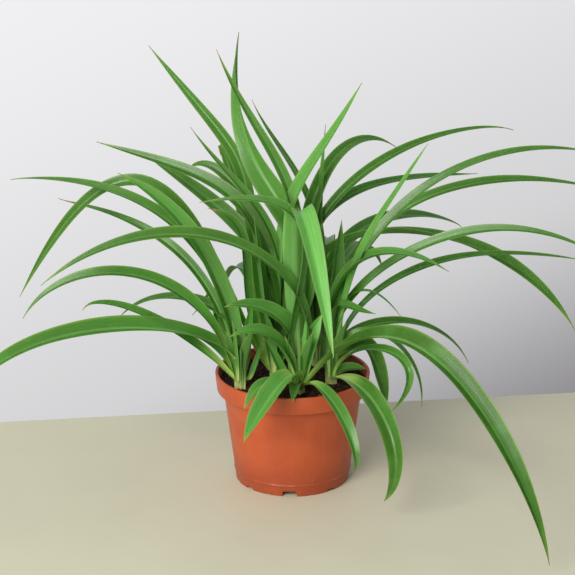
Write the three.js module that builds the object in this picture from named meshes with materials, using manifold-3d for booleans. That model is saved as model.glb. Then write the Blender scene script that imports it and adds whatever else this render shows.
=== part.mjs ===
// A potted spider plant: five crowns of strap leaves in the peat of a plastic nursery pot.
// Millimetres, +Z up. The origin is on the pot's axis, at the level of the table that it stands on.
// Directions on plan are degrees from +X towards +Y, and the plant shows its front to -Y.

import * as THREE from "three";
import { mergeVertices } from "three/addons/utils/BufferGeometryUtils.js";
import Module from "manifold-3d";

const wasm = await Module();
wasm.setup();
const { Manifold, Mesh } = wasm;

// Driving dimensions of the pot
const POT_HEIGHT = 87;
const POT_SIDES = 40;
const RIM_RADIUS = 60;
const RIM_BAND_FOOT = 73;
const RIM_BAND_RADIUS = 58.5;
const RIM_STEP = 3;
const WALL_TOP_RADIUS = 53.7;
const WALL_FOOT_RADIUS = 45.2;
const FOOT_RADIUS = 44.2;
const FOOT_RING = 3;
const FOOT_DRAFT = 1;
const RIDGE_HEIGHT = 9;
const RIDGE_PROUD = 0.6;
const RIDGE_WIDTH = 2;
const RIDGE_CREST = 0.8;
const WALL = 1.5;
const RIM_WALL = 2.4;
const RIM_BEVEL = 0.8;
const FLOOR_UNDERSIDE = 4.5;
const FLOOR_TOP = 6.5;

// Water runs out through round holes in the floor and away under the foot: through a tall slot at each
// quarter turn, a low slot halfway between two of them, and a notch between any two slots
const FIRST_SLOT = 267;
const SLOT = { width: 11, height: 4 };
const LOW_SLOT = { width: 7, height: 2 };
const NOTCH = { width: 4, height: 1 };
const QUARTER = [SLOT, NOTCH, LOW_SLOT, NOTCH];
const FOOT_OPENINGS = [...QUARTER, ...QUARTER, ...QUARTER, ...QUARTER];
const SLOT_DEPTH = 12;
const DRAIN_HOLES = 8;
const DRAIN_HOLE_RADIUS = 3.5;
const DRAIN_HOLE_CIRCLE = 31;
const DRAIN_HOLE_SIDES = 12;

// Driving dimensions of the peat and of what stands in it
const CLEARANCE = 0.3;
const SOIL_EDGE = 78.5;
const SOIL_MOUND = 2;
const SOIL_RINGS = 6;
const SOIL_SIDES = 30;
const CROWN_HOLE_FLOOR = 66;
const CROWN_HOLE_SIDES = 16;
const CROWN_SIDES = 10;
const CROWN_FOOT_RADIUS = 3;
const CROWN_FOOT = 3;
const CROWN_RADIUS = 5;
const CROWN_SHOULDER = 96;
const CROWN_NECK_RADIUS = 3.5;
const CROWN_TOP = 118;

// The peat's lumps are two crossed waves: their height, and how fast each turns, in radians per millimetre
const LUMPS = { height: 0.45, alongX: 0.31, alongY: 0.27, diagonal: 0.17 };

// Driving dimensions that all the leaves share
const LEAF_ROOT = 85;
const LEAF_ROOT_SPREAD = 2.5;
const LEAF_THICKNESS = 0.7;
const TIP_WIDTH = 0.9;
const FEWEST_SEGMENTS = 4;
const SEGMENT_LENGTH = 62;

// A blade starts at a share of its full width, swells to it some way along, and tapers to its tip
const BASE_SHARE = 0.35;
const WIDEST_AT = 0.4;
const TAPER = 2.5;

// How deep the channel over the midrib is on either side of it, as a share of half the width
const KEEL = { base: 0.4, blade: 0.26 };

// Corners closer together than this are one corner
const SAME_CORNER = 1e-4;

function toSolid(geometry) {
  const bare = geometry.clone();
  bare.deleteAttribute("normal");
  bare.deleteAttribute("uv");
  const merged = mergeVertices(bare, SAME_CORNER);
  return new Manifold(new Mesh({
    numProp: 3,
    vertProperties: new Float32Array(merged.attributes.position.array),
    triVerts: new Uint32Array(merged.index.array),
  }));
}

function toGeometry(solid) {
  const { vertProperties, triVerts } = solid.getMesh();
  const geometry = new THREE.BufferGeometry();
  geometry.setAttribute("position", new THREE.BufferAttribute(vertProperties, 3));
  geometry.setIndex(new THREE.BufferAttribute(triVerts, 1));
  geometry.computeVertexNormals();
  return geometry;
}

function lathe(profile, sides) {
  const points = profile.map(([radius, height]) => new THREE.Vector2(radius, height));
  return new THREE.LatheGeometry(points, sides).rotateX(Math.PI / 2);
}

function rod(radius, length, sides) {
  return new THREE.CylinderGeometry(radius, radius, length, sides).rotateX(Math.PI / 2);
}

const radians = THREE.MathUtils.degToRad;
const wallRadius = (height) => THREE.MathUtils.mapLinear(
  height, RIDGE_HEIGHT, RIM_BAND_FOOT, WALL_FOOT_RADIUS, WALL_TOP_RADIUS,
);

// The pot is one thin moulding: a raised floor, a tapered wall and a deep rim band.
function makePot() {
  const profile = [
    [0, FLOOR_UNDERSIDE],
    [FOOT_RADIUS - FOOT_RING - FOOT_DRAFT, FLOOR_UNDERSIDE],
    [FOOT_RADIUS - FOOT_RING, 0],
    [FOOT_RADIUS, 0],
    [WALL_FOOT_RADIUS, RIDGE_HEIGHT - RIDGE_WIDTH / 2],
    [WALL_FOOT_RADIUS + RIDGE_PROUD, RIDGE_HEIGHT - RIDGE_CREST / 2],
    [WALL_FOOT_RADIUS + RIDGE_PROUD, RIDGE_HEIGHT + RIDGE_CREST / 2],
    [wallRadius(RIDGE_HEIGHT + RIDGE_WIDTH / 2), RIDGE_HEIGHT + RIDGE_WIDTH / 2],
    [WALL_TOP_RADIUS, RIM_BAND_FOOT],
    [RIM_BAND_RADIUS, RIM_BAND_FOOT],
    [RIM_RADIUS, POT_HEIGHT - RIM_BEVEL],
    [RIM_RADIUS - RIM_BEVEL, POT_HEIGHT],
    [RIM_RADIUS - RIM_WALL, POT_HEIGHT],
    [RIM_BAND_RADIUS - RIM_WALL, RIM_BAND_FOOT + RIM_STEP],
    [WALL_TOP_RADIUS - WALL, RIM_BAND_FOOT],
    [wallRadius(FLOOR_TOP) - WALL, FLOOR_TOP],
    [0, FLOOR_TOP],
  ];
  const body = toSolid(lathe(profile, POT_SIDES));

  const cuts = FOOT_OPENINGS.map(({ width, height }, i) => {
    const slot = new THREE.BoxGeometry(SLOT_DEPTH, width, 2 * height);
    slot.translate(FOOT_RADIUS, 0, 0);
    slot.rotateZ(radians(FIRST_SLOT + (i * 360) / FOOT_OPENINGS.length));
    return toSolid(slot);
  });
  for (let i = 0; i < DRAIN_HOLES; i += 1) {
    const hole = rod(DRAIN_HOLE_RADIUS, 2 * FLOOR_TOP, DRAIN_HOLE_SIDES);
    hole.translate(DRAIN_HOLE_CIRCLE, 0, FLOOR_TOP);
    hole.rotateZ(radians(FIRST_SLOT + (i * 360) / DRAIN_HOLES));
    cuts.push(toSolid(hole));
  }
  return toGeometry(body.subtract(Manifold.union(cuts)));
}

// The peat fills the pot to just under its rim, a little mounded and uneven on top.
function soilHeight(x, y) {
  const outwards = Math.hypot(x, y) / RIM_RADIUS;
  const crossed = Math.sin(x * LUMPS.alongX + 1) * Math.cos(y * LUMPS.alongY);
  const diagonal = Math.sin((x + y) * LUMPS.diagonal + 2);
  return SOIL_EDGE + SOIL_MOUND * (1 - outwards ** 2) + LUMPS.height * (crossed + diagonal);
}

function makeSoil(crowns) {
  const topRadius = RIM_BAND_RADIUS - RIM_WALL - 2 * CLEARANCE;
  const shoulder = RIM_BAND_FOOT + RIM_STEP + CLEARANCE;
  const topFrom = (shoulder + SOIL_EDGE) / 2;
  const profile = [
    [0, FLOOR_TOP + CLEARANCE],
    [wallRadius(FLOOR_TOP) - WALL - CLEARANCE, FLOOR_TOP + CLEARANCE],
    [WALL_TOP_RADIUS - WALL - CLEARANCE, RIM_BAND_FOOT + CLEARANCE],
    [topRadius, shoulder],
  ];
  for (let ring = SOIL_RINGS; ring >= 0; ring -= 1) {
    profile.push([(topRadius * ring) / SOIL_RINGS, SOIL_EDGE]);
  }
  const geometry = lathe(profile, SOIL_SIDES);
  const position = geometry.attributes.position;
  for (let i = 0; i < position.count; i += 1) {
    if (position.getZ(i) > topFrom) {
      position.setZ(i, soilHeight(position.getX(i), position.getY(i)));
    }
  }
  const holes = crowns.map(({ x, y }) => {
    const hole = rod(CROWN_RADIUS + CLEARANCE, CROWN_SHOULDER - CROWN_HOLE_FLOOR, CROWN_HOLE_SIDES);
    return toSolid(hole.translate(x, y, (CROWN_SHOULDER + CROWN_HOLE_FLOOR) / 2));
  });
  return toGeometry(toSolid(geometry).subtract(Manifold.union(holes)));
}

// A leaf arches in one upright plane. Its row gives, in order:
//   heading  the way that it leans, on plan
//   lean     how far from upright it leaves the crown, in degrees
//   grow     how long it holds that direction: the length of the curve's first handle
//   reach    how far out from its root the tip is
//   rise     how high above its root the tip is
//   dip      how steeply the tip points down, in degrees below level
//   fall     how long it has held that: the length of the curve's last handle
//   width    of the blade at its widest
//   turn     how far the blade is turned about its own midrib at its base, in degrees
//   twist    how much further it is turned at its tip
const CROWNS = [
  {
    name: "crown_left",
    x: -40,
    y: -17,
    leaves: [
      [173, -2, 172, 172, 155, 17, 15, 12, 40, -42],
      [182, -12, 30, 88, 167, -25, 85, 15, 50, 0],
      [152, 6, 135, 160, 124, -18, 20, 8, 40, -25],
      [186, 12, 115, 162, 57, 61, 60, 12, 30, 0],
      [200, 38, 75, 121, 72, 66, 20, 10, 35, 0],
      [190, 10, 12, 57, 46, 0, 40, 10, 30, 0],
      [148, -24, 77, 113, 29, 51, 60, 9, 30, 0],
      [208, -26, 58, 227, 19, 63, 95, 17, 25, 0],
      [135, 31, 90, 52, 40, 46, 60, 7, 20, 0],
      [20, 60, 8, 16, 30, -70, 40, 5, -30, 0],
      [240, 4, 15, 8, 52, -75, 20, 9, 50, 0],
      [30, 0, 15, 8, 62, -80, 20, 8, -60, 0],
    ],
  },
  {
    name: "crown_front",
    x: 5,
    y: -28,
    leaves: [
      [194, -28, 105, 193, 97, 38, 135, 12, 35, 0],
      [184, 25, 60, 72, 148, 9, 140, 10, 35, 0],
      [285, -8, 52, 92, 57, 53, 253, 18, 2, 0],
      [319, 34, 185, 233, -77, 77, 70, 19, -15, 0],
      [298, 45, 50, 80, -40, 146, 35, 11, 0, 0],
      [245, -7, 40, 94, -10, 60, 12, 18, 0, 0],
      [222, 60, 40, 54, -4, 55, 20, 10, 10, 0],
      [20, -8, 20, 16, 56, -60, 25, 14, -70, 0],
      [200, -18, 8, 53, 47, 24, 45, 14, 30, 0],
      [192, -11, 75, 55, 68, 35, 8, 16, 40, 0],
      [185, 44, 20, 25, 41, -54, 20, 8, 50, 0],
      [262, 40, 18, 34, 1, 55, 12, 9, 0, 0],
      [350, 0, 20, 3, 58, -85, 20, 4, -70, 0],
    ],
  },
  {
    name: "crown_right",
    x: 30,
    y: -8,
    leaves: [
      [8, -24, 60, 203, 171, 14, 155, 10, -22, 0],
      [325, 4, 95, 80, 199, -57, 100, 8, -60, 0],
      [352, -24, 70, 199, 107, 31, 120, 9, -35, 0],
      [12, -3, 55, 199, 81, 14, 150, 7, -25, 0],
      [320, -24, 70, 107, 109, 18, 90, 14, -45, 60],
      [340, -16, 40, 53, 56, 51, 65, 4, -20, 0],
      [310, -4, 85, 47, 65, -9, 45, 9, -30, 0],
      [25, -24, 54, 119, -8, 66, 70, 8, -25, 0],
      [0, -4, 65, 68, -25, 93, 65, 7, -20, 0],
      [300, 13, 50, 83, 0, 137, 115, 8, -20, 0],
      [296, 61, 65, 85, -70, 135, 75, 15, -10, -50],
      [10, 18, 10, 25, 5, 15, 10, 8, -30, 0],
      [240, 2, 40, 12, 92, -80, 30, 12, 60, 0],
      [70, 4, 50, 20, 120, -75, 30, 13, -50, 0],
    ],
  },
  {
    name: "crown_middle",
    x: -13,
    y: 2,
    leaves: [
      [170, -18, 165, 42, 254, -68, 100, 9, 60, 0],
      [165, -3, 150, 140, 175, -12, 115, 12, 40, 0],
      [140, -20, 85, 137, 153, -17, 135, 14, 35, 0],
      [178, 48, 45, 195, 59, 63, 260, 11, 15, 90],
      [150, 10, 205, 110, 246, -44, 150, 11, 65, 0],
      [148, -28, 187, 30, 265, -100, 158, 20, 17, 150],
      [182, -13, 130, 61, 197, -57, 70, 7, 60, 0],
      [120, -18, 60, 85, 153, 118, 50, 13, 40, 0],
      [152, -28, 89, 78, 147, 63, 59, 14, 40, 0],
      [198, 25, 95, 51, 138, -19, 55, 11, 60, 0],
      [340, -2, 160, 65, 236, -62, 115, 12, -60, 0],
      [220, 3, 50, 18, 130, -80, 50, 12, 60, 0],
      [250, 8, 40, 22, 60, -60, 25, 11, 40, 0],
      [100, 12, 100, 140, 45, 55, 80, 13, 0, 0],
      [112, 20, 80, 118, 25, 62, 70, 12, 10, 0],
    ],
  },
  {
    name: "crown_back",
    x: 20,
    y: 28,
    leaves: [
      [140, -13, 145, 65, 200, -59, 55, 6, 60, 0],
      [330, -1, 150, 3, 192, -86, 60, 6, -80, 0],
      [45, -24, 125, 85, 157, 34, 90, 12, -40, 0],
      [25, -24, 175, 169, 168, 24, 50, 8, -35, 0],
      [42, -24, 195, 175, 119, 8, 70, 8, -35, 0],
      [12, 5, 187, 228, 126, 18, 30, 9, -35, 0],
      [50, -9, 166, 188, 64, 67, 12, 11, -35, 0],
      [5, -26, 160, 202, 18, 63, 130, 14, 57, -190],
      [350, 76, 30, 53, -34, 80, 84, 15, -15, -60],
      [85, 12, 92, 152, 25, 62, 85, 14, 0, 0],
      [65, 10, 82, 128, 38, 52, 75, 12, -10, 0],
      [112, 18, 80, 130, 15, 66, 70, 12, 0, 0],
      [200, 3, 70, 22, 150, -80, 60, 13, 60, 0],
      [280, 3, 60, 12, 120, -80, 40, 12, 0, 0],
    ],
  },
];

const LEAF_COLUMNS = ["heading", "lean", "grow", "reach", "rise", "dip", "fall", "width", "turn", "twist"];

function bladeHalfWidth(along, width) {
  const swell = BASE_SHARE + (1 - BASE_SHARE) * Math.sin(Math.min(along / WIDEST_AT, 1) * Math.PI / 2);
  const toTip = Math.max(0, (along - WIDEST_AT) / (1 - WIDEST_AT));
  return Math.max(TIP_WIDTH, width * swell * (1 - toTip ** TAPER)) / 2;
}

// One blade: a shallow channel of even thickness, lofted along a cubic curve.
function makeLeaf(row, crown) {
  const leaf = Object.fromEntries(LEAF_COLUMNS.map((column, i) => [column, row[i]]));
  const heading = radians(leaf.heading);
  const out = new THREE.Vector3(Math.cos(heading), Math.sin(heading), 0);
  const side = new THREE.Vector3(-out.y, out.x, 0);
  const place = (across, up) => new THREE.Vector3(crown.x, crown.y, LEAF_ROOT + up)
    .addScaledVector(out, LEAF_ROOT_SPREAD + across);
  const lean = radians(leaf.lean);
  const dip = radians(leaf.dip);
  const midrib = new THREE.CubicBezierCurve3(
    place(0, 0),
    place(leaf.grow * Math.sin(lean), leaf.grow * Math.cos(lean)),
    place(leaf.reach - leaf.fall * Math.cos(dip), leaf.rise + leaf.fall * Math.sin(dip)),
    place(leaf.reach, leaf.rise),
  );

  const segments = Math.round(FEWEST_SEGMENTS + midrib.getLength() / SEGMENT_LENGTH);
  const positions = [];
  for (let i = 0; i <= segments; i += 1) {
    const along = i / segments;
    const t = midrib.getUtoTmapping(along);
    const tangent = midrib.getTangent(t);
    const turn = radians(leaf.turn + leaf.twist * along ** 2);
    const face = new THREE.Vector3().crossVectors(side, tangent).multiplyScalar(-1);
    const across = side.clone().multiplyScalar(Math.cos(turn)).addScaledVector(face, -Math.sin(turn));
    const upper = face.clone().multiplyScalar(Math.cos(turn)).addScaledVector(side, Math.sin(turn));
    const half = bladeHalfWidth(along, leaf.width);
    const keel = half * THREE.MathUtils.lerp(KEEL.base, KEEL.blade, Math.min(1, along / WIDEST_AT));
    const centre = midrib.getPoint(t);
    const section = [
      [-half, keel], [0, -keel], [half, keel],
      [half, keel - LEAF_THICKNESS], [0, -keel - LEAF_THICKNESS], [-half, keel - LEAF_THICKNESS],
    ];
    for (const [x, y] of section) {
      positions.push(...centre.clone().addScaledVector(across, x).addScaledVector(upper, y).toArray());
    }
  }
  return toSolid(loft(positions, 6, segments));
}

// Joins rings of corners into one closed skin, split alike on the blade's two faces.
function loft(positions, corners, segments) {
  const index = [];
  for (let ring = 0; ring < segments; ring += 1) {
    for (let corner = 0; corner < corners; corner += 1) {
      const next = (corner + 1) % corners;
      const a = ring * corners + corner;
      const b = ring * corners + next;
      const c = a + corners;
      const d = b + corners;
      if (corner < corners / 2) {
        index.push(a, d, b, a, c, d);
      } else {
        index.push(a, c, b, b, c, d);
      }
    }
  }
  const last = segments * corners;
  index.push(0, 1, 5, 1, 4, 5, 1, 2, 4, 2, 3, 4);
  index.push(last, last + 5, last + 1, last + 1, last + 5, last + 4);
  index.push(last + 1, last + 4, last + 2, last + 2, last + 4, last + 3);
  const geometry = new THREE.BufferGeometry();
  geometry.setAttribute("position", new THREE.BufferAttribute(new Float32Array(positions), 3));
  geometry.setIndex(index);
  return geometry;
}

// A crown is a short rootstock that stands in its hole in the peat, with its leaves grown from it.
function makeCrown(crown) {
  const stock = lathe([
    [0, CROWN_HOLE_FLOOR + CLEARANCE],
    [CROWN_FOOT_RADIUS, CROWN_HOLE_FLOOR + CLEARANCE],
    [CROWN_RADIUS, CROWN_HOLE_FLOOR + CROWN_FOOT],
    [CROWN_RADIUS, CROWN_SHOULDER],
    [CROWN_NECK_RADIUS, (CROWN_SHOULDER + CROWN_TOP) / 2],
    [0, CROWN_TOP],
  ], CROWN_SIDES);
  stock.translate(crown.x, crown.y, 0);
  const leaves = crown.leaves.map((row) => makeLeaf(row, crown));
  const joined = Manifold.union([toSolid(stock), ...leaves]);
  const [body] = joined.decompose().sort((a, b) => b.volume() - a.volume());
  return toGeometry(body);
}

const plastic = new THREE.MeshStandardMaterial({ color: 0xc46038, roughness: 0.5, metalness: 0 });
const peat = new THREE.MeshStandardMaterial({ color: 0x2a1a14, roughness: 1, metalness: 0 });
const foliage = new THREE.MeshStandardMaterial({ color: 0x4b9436, roughness: 0.45, metalness: 0 });

function named(name, geometry, material) {
  const mesh = new THREE.Mesh(geometry, material);
  mesh.name = name;
  return mesh;
}

const plant = new THREE.Group();
plant.add(named("pot", makePot(), plastic));
plant.add(named("soil", makeSoil(CROWNS), peat));
for (const crown of CROWNS) {
  plant.add(named(crown.name, makeCrown(crown), foliage));
}

export default plant;
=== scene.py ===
"""A potted spider plant: strap leaves from five crowns, in the peat of a terracotta-coloured pot."""

import math

import bmesh
import bpy
from mathutils import Matrix, Vector, noise


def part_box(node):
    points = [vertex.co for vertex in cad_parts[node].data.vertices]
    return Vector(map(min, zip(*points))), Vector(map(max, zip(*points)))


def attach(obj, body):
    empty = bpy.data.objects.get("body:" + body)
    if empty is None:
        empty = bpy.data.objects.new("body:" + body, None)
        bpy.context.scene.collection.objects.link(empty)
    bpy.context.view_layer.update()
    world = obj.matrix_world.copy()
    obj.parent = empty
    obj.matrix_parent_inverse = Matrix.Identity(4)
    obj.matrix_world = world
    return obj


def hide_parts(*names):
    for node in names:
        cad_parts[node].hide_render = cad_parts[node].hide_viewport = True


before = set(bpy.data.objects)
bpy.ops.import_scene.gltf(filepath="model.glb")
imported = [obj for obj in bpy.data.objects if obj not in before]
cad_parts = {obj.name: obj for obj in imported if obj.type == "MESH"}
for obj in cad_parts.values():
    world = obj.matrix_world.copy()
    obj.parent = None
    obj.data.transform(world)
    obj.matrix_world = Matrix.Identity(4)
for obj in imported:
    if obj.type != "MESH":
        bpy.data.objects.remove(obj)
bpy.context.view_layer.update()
MM = 0.001

# The nursery pot is one thin injection moulding in terracotta-coloured polypropylene, semi-matte.
# A tapered wall carries a deep rim band, a fine moulded ridge runs round it just above the foot, and
# the foot ring is broken by drainage slots, the tall ones each in a shallow panel, and by small notches.
POT_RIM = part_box("pot")[1].x
POT_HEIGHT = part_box("pot")[1].z
BAND_FOOT = 73 * MM
BAND_RADIUS = 58.5 * MM
WALL_TOP_RADIUS = 53.7 * MM
WALL_FOOT_RADIUS = 45.2 * MM
FOOT_RADIUS = 44.2 * MM
FOOT_RING = 3 * MM
RIDGE_HEIGHT = 9 * MM
RIDGE_PROUD = 0.5 * MM
WALL = 1.5 * MM
RIM_WALL = 2.4 * MM
RIM_STEP = 3 * MM
FLOOR_UNDERSIDE = 4.5 * MM
FLOOR_TOP = 6.5 * MM
POT_SIDES = 192
FIRST_SLOT = math.radians(267)
SLOT = (11 * MM, 4 * MM)
LOW_SLOT = (7 * MM, 2 * MM)
NOTCH = (4 * MM, 1 * MM)
FOOT_OPENINGS = [SLOT, NOTCH, LOW_SLOT, NOTCH] * 4
PANEL = (17 * MM, 5.3 * MM)
PANEL_DEPTH = 0.45 * MM
DRAIN_HOLES = 8
DRAIN_HOLE_RADIUS = 3.5 * MM
DRAIN_HOLE_CIRCLE = 31 * MM
DRAIN_HOLE_SIDES = 28
CUT_DEPTHS = {"slot": 12 * MM, "panel": 10 * MM, "hole": 8 * MM}
OPENING_SHOULDER = (0.44, 0.86)
FILLET_STEPS = 4
SHARP_ANGLE = math.radians(38)
POT_COLOURS = {
    "clay": (0.465, 0.075, 0.019, 1),
    "light clay": (0.525, 0.093, 0.026, 1),
    "speck": (0.40, 0.065, 0.02, 1),
    "flow mark": (0.62, 0.14, 0.05, 1),
    "peat smear": (0.13, 0.035, 0.018, 1),
    "peat dust": (0.09, 0.045, 0.03, 1),
    "painted band shade": (0.12, 0.022, 0.008, 1),
    "painted ridge highlight": (0.85, 0.36, 0.19, 1),
    "painted foot shade": (0.28, 0.045, 0.014, 1),
    "scratch": (0.78, 0.38, 0.24, 1),
}


def wall_radius(height):
    """The outside of the tapered wall at a height."""
    share = (height - RIDGE_HEIGHT) / (BAND_FOOT - RIDGE_HEIGHT)
    return WALL_FOOT_RADIUS + share * (WALL_TOP_RADIUS - WALL_FOOT_RADIUS)


def rounded(corners):
    """Corners are (radius, height, fillet). Each fillet is a short curve between the two straight runs."""
    points = []
    for i, (x, z, fillet) in enumerate(corners):
        here = Vector((x, z))
        if fillet == 0 or i in (0, len(corners) - 1):
            points.append(here)
            continue
        before = (Vector(corners[i - 1][:2]) - here).normalized() * fillet
        after = (Vector(corners[i + 1][:2]) - here).normalized() * fillet
        for k in range(FILLET_STEPS + 1):
            t = k / FILLET_STEPS
            points.append(here + before * (1 - t) ** 2 + after * t**2)
    return points


def turned(points, sides):
    """Turns an outline about the axis into a closed bmesh. Its first and last points are on the axis."""
    shape = bmesh.new()
    rings = []
    for point in points[1:-1]:
        angles = [2 * math.pi * k / sides for k in range(sides)]
        ring = [(point.x * math.cos(angle), point.x * math.sin(angle), point.y) for angle in angles]
        rings.append([shape.verts.new(corner) for corner in ring])
    bottom = shape.verts.new((0, 0, points[0].y))
    top = shape.verts.new((0, 0, points[-1].y))
    for k in range(sides):
        n = (k + 1) % sides
        shape.faces.new((bottom, rings[0][n], rings[0][k]))
        shape.faces.new((top, rings[-1][k], rings[-1][n]))
        for low, high in zip(rings, rings[1:]):
            shape.faces.new((low[k], low[n], high[n], high[k]))
    return shape


def add_object(name, data):
    """A new object in the scene, at the origin."""
    made = bpy.data.objects.new(name, data)
    bpy.context.scene.collection.objects.link(made)
    return made


def make_object(name, shape):
    """A bmesh made into an object at the origin."""
    bmesh.ops.recalc_face_normals(shape, faces=shape.faces)
    mesh = bpy.data.meshes.new(name)
    shape.to_mesh(mesh)
    shape.free()
    return add_object(name, mesh)


def baked(piece, name):
    """The piece as its modifiers leave it, as a plain mesh in a new object."""
    graph = bpy.context.evaluated_depsgraph_get()
    mesh = bpy.data.meshes.new_from_object(
        piece.evaluated_get(graph), preserve_all_data_layers=True, depsgraph=graph
    )
    bpy.data.objects.remove(piece)
    mesh.name = name
    return add_object(name, mesh)


def block(shape, radius, angle, size, depth):
    """Adds a cutter block that straddles the foot ring: size is its width and height over the table.
    Its two top corners are cut off, as in the moulding."""
    width, height = size
    shoulder, side_height = width * OPENING_SHOULDER[0], height * OPENING_SHOULDER[1]
    out = Vector((math.cos(angle), math.sin(angle), 0))
    side = Vector((-out.y, out.x, 0))
    corners = [(-width / 2, -height), (width / 2, -height), (width / 2, side_height), (shoulder, height),
               (-shoulder, height), (-width / 2, side_height)]
    inner, outer = (
        [shape.verts.new(out * r + side * s + Vector((0, 0, z))) for s, z in corners]
        for r in (radius - depth / 2, radius + depth / 2)
    )
    shape.faces.new(inner)
    shape.faces.new(outer)
    for k in range(len(corners)):
        n = (k + 1) % len(corners)
        shape.faces.new((inner[k], inner[n], outer[n], outer[k]))


def make_pot():
    """The turned moulding, with its foot openings, their panels and the drainage holes cut out of it."""
    foot_inner = FOOT_RADIUS - FOOT_RING
    half_ridge = 1.1 * MM
    half_crest = 0.2 * MM
    mid_wall = 40 * MM
    outline = rounded([
        (0, FLOOR_UNDERSIDE, 0),
        (foot_inner - 1 * MM, FLOOR_UNDERSIDE, 0.8 * MM),
        (foot_inner, 0, 0.3 * MM),
        (FOOT_RADIUS, 0, 0.4 * MM),
        (WALL_FOOT_RADIUS, RIDGE_HEIGHT - half_ridge, 0.3 * MM),
        (WALL_FOOT_RADIUS + RIDGE_PROUD, RIDGE_HEIGHT - half_crest, 0.25 * MM),
        (WALL_FOOT_RADIUS + RIDGE_PROUD, RIDGE_HEIGHT + half_crest, 0.25 * MM),
        (wall_radius(RIDGE_HEIGHT + half_ridge), RIDGE_HEIGHT + half_ridge, 0.3 * MM),
        (wall_radius(mid_wall), mid_wall, 0),
        (WALL_TOP_RADIUS, BAND_FOOT, 1.2 * MM),
        (BAND_RADIUS, BAND_FOOT, 0.8 * MM),
        (POT_RIM, POT_HEIGHT, 0.9 * MM),
        (POT_RIM - RIM_WALL, POT_HEIGHT, 0.7 * MM),
        (BAND_RADIUS - RIM_WALL, BAND_FOOT + RIM_STEP, 1.2 * MM),
        (WALL_TOP_RADIUS - WALL, BAND_FOOT, 1.2 * MM),
        (wall_radius(FLOOR_TOP) - WALL, FLOOR_TOP, 1.5 * MM),
        (0, FLOOR_TOP, 0),
    ])
    cutters = bmesh.new()
    panels = bmesh.new()
    for k, opening in enumerate(FOOT_OPENINGS):
        angle = FIRST_SLOT + k * 2 * math.pi / len(FOOT_OPENINGS)
        block(cutters, FOOT_RADIUS, angle, opening, CUT_DEPTHS["slot"])
        if opening == SLOT:
            panel_middle = FOOT_RADIUS + CUT_DEPTHS["panel"] / 2 - PANEL_DEPTH
            block(panels, panel_middle, angle, PANEL, CUT_DEPTHS["panel"])
    holes = bmesh.new()
    for k in range(DRAIN_HOLES):
        angle = FIRST_SLOT + k * 2 * math.pi / DRAIN_HOLES
        centre = Vector((math.cos(angle), math.sin(angle), 0)) * DRAIN_HOLE_CIRCLE
        centre.z = (FLOOR_UNDERSIDE + FLOOR_TOP) / 2
        made = bmesh.ops.create_cone(
            holes, cap_ends=True, segments=DRAIN_HOLE_SIDES, radius1=DRAIN_HOLE_RADIUS,
            radius2=DRAIN_HOLE_RADIUS, depth=CUT_DEPTHS["hole"]
        )
        bmesh.ops.translate(holes, verts=made["verts"], vec=centre)

    pot = make_object("pot_blank", turned(outline, POT_SIDES))
    tools = [make_object(f"cut_{name}", shape) for name, shape in
             (("panels", panels), ("slots", cutters), ("holes", holes))]
    for tool in tools:
        cut = pot.modifiers.new(tool.name, "BOOLEAN")
        cut.operation = "DIFFERENCE"
        cut.solver = "EXACT"
        cut.object = tool
    pot = baked(pot, "nursery_pot")
    for tool in tools:
        bpy.data.objects.remove(tool)
    for face in pot.data.polygons:
        face.use_smooth = True
    pot.data.set_sharp_from_angle(angle=SHARP_ANGLE)
    return pot


def put(tree, kind, inputs=None, **settings):
    """Adds a node. Inputs maps a socket's name or number to a value, or to the socket that feeds it."""
    made = tree.nodes.new(kind)
    for key, value in settings.items():
        setattr(made, key, value)
    for key, value in (inputs or {}).items():
        if isinstance(value, bpy.types.NodeSocket):
            tree.links.new(value, made.inputs[key])
        else:
            made.inputs[key].default_value = value
    return made


def calc(tree, operation, *values):
    """A Math node's result."""
    return put(tree, "ShaderNodeMath", dict(enumerate(values)), operation=operation).outputs[0]


def times(tree, first, second):
    """Two numbers multiplied."""
    return calc(tree, "MULTIPLY", first, second)


def ease(tree, value, low, high, to_low=0.0, to_high=1.0):
    """A smooth step of value from low to high."""
    inputs = {"Value": value, "From Min": low, "From Max": high, "To Min": to_low, "To Max": to_high}
    return put(tree, "ShaderNodeMapRange", inputs, interpolation_type="SMOOTHSTEP").outputs["Result"]


def blend_colours(tree, share, first, second):
    """Two colours mixed by a share."""
    return put(tree, "ShaderNodeMix", {0: share, 6: first, 7: second}, data_type="RGBA").outputs[2]


def make_mottle():
    """The soft uneven patches that moulded plastic, peat and leaves all show, each at its own scale."""
    group = bpy.data.node_groups.new("mottle", "ShaderNodeTree")
    for name, kind, start in (("Place", "NodeSocketVector", None), ("Scale", "NodeSocketFloat", 60.0),
                              ("Low", "NodeSocketFloat", 0.35), ("High", "NodeSocketFloat", 0.65)):
        socket = group.interface.new_socket(name, in_out="INPUT", socket_type=kind)
        if start is not None:
            socket.default_value = start
    group.interface.new_socket("Patches", in_out="OUTPUT", socket_type="NodeSocketFloat")
    entry = group.nodes.new("NodeGroupInput")
    leave = group.nodes.new("NodeGroupOutput")
    place, scale = entry.outputs["Place"], entry.outputs["Scale"]
    inputs = {"Vector": place, "Scale": scale, "Detail": 4.0, "Roughness": 0.55}
    cloud = put(group, "ShaderNodeTexNoise", inputs)
    patches = ease(group, cloud.outputs["Fac"], entry.outputs["Low"], entry.outputs["High"])
    group.links.new(patches, leave.inputs["Patches"])
    return group


MOTTLE = make_mottle()


def mottle(tree, place, scale, low=0.35, high=0.65):
    """The mottle group placed in a material with its own values."""
    made = tree.nodes.new("ShaderNodeGroup")
    made.node_tree = MOTTLE
    tree.links.new(place, made.inputs["Place"])
    for name, value in (("Scale", scale), ("Low", low), ("High", high)):
        made.inputs[name].default_value = value
    return made.outputs["Patches"]


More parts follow.
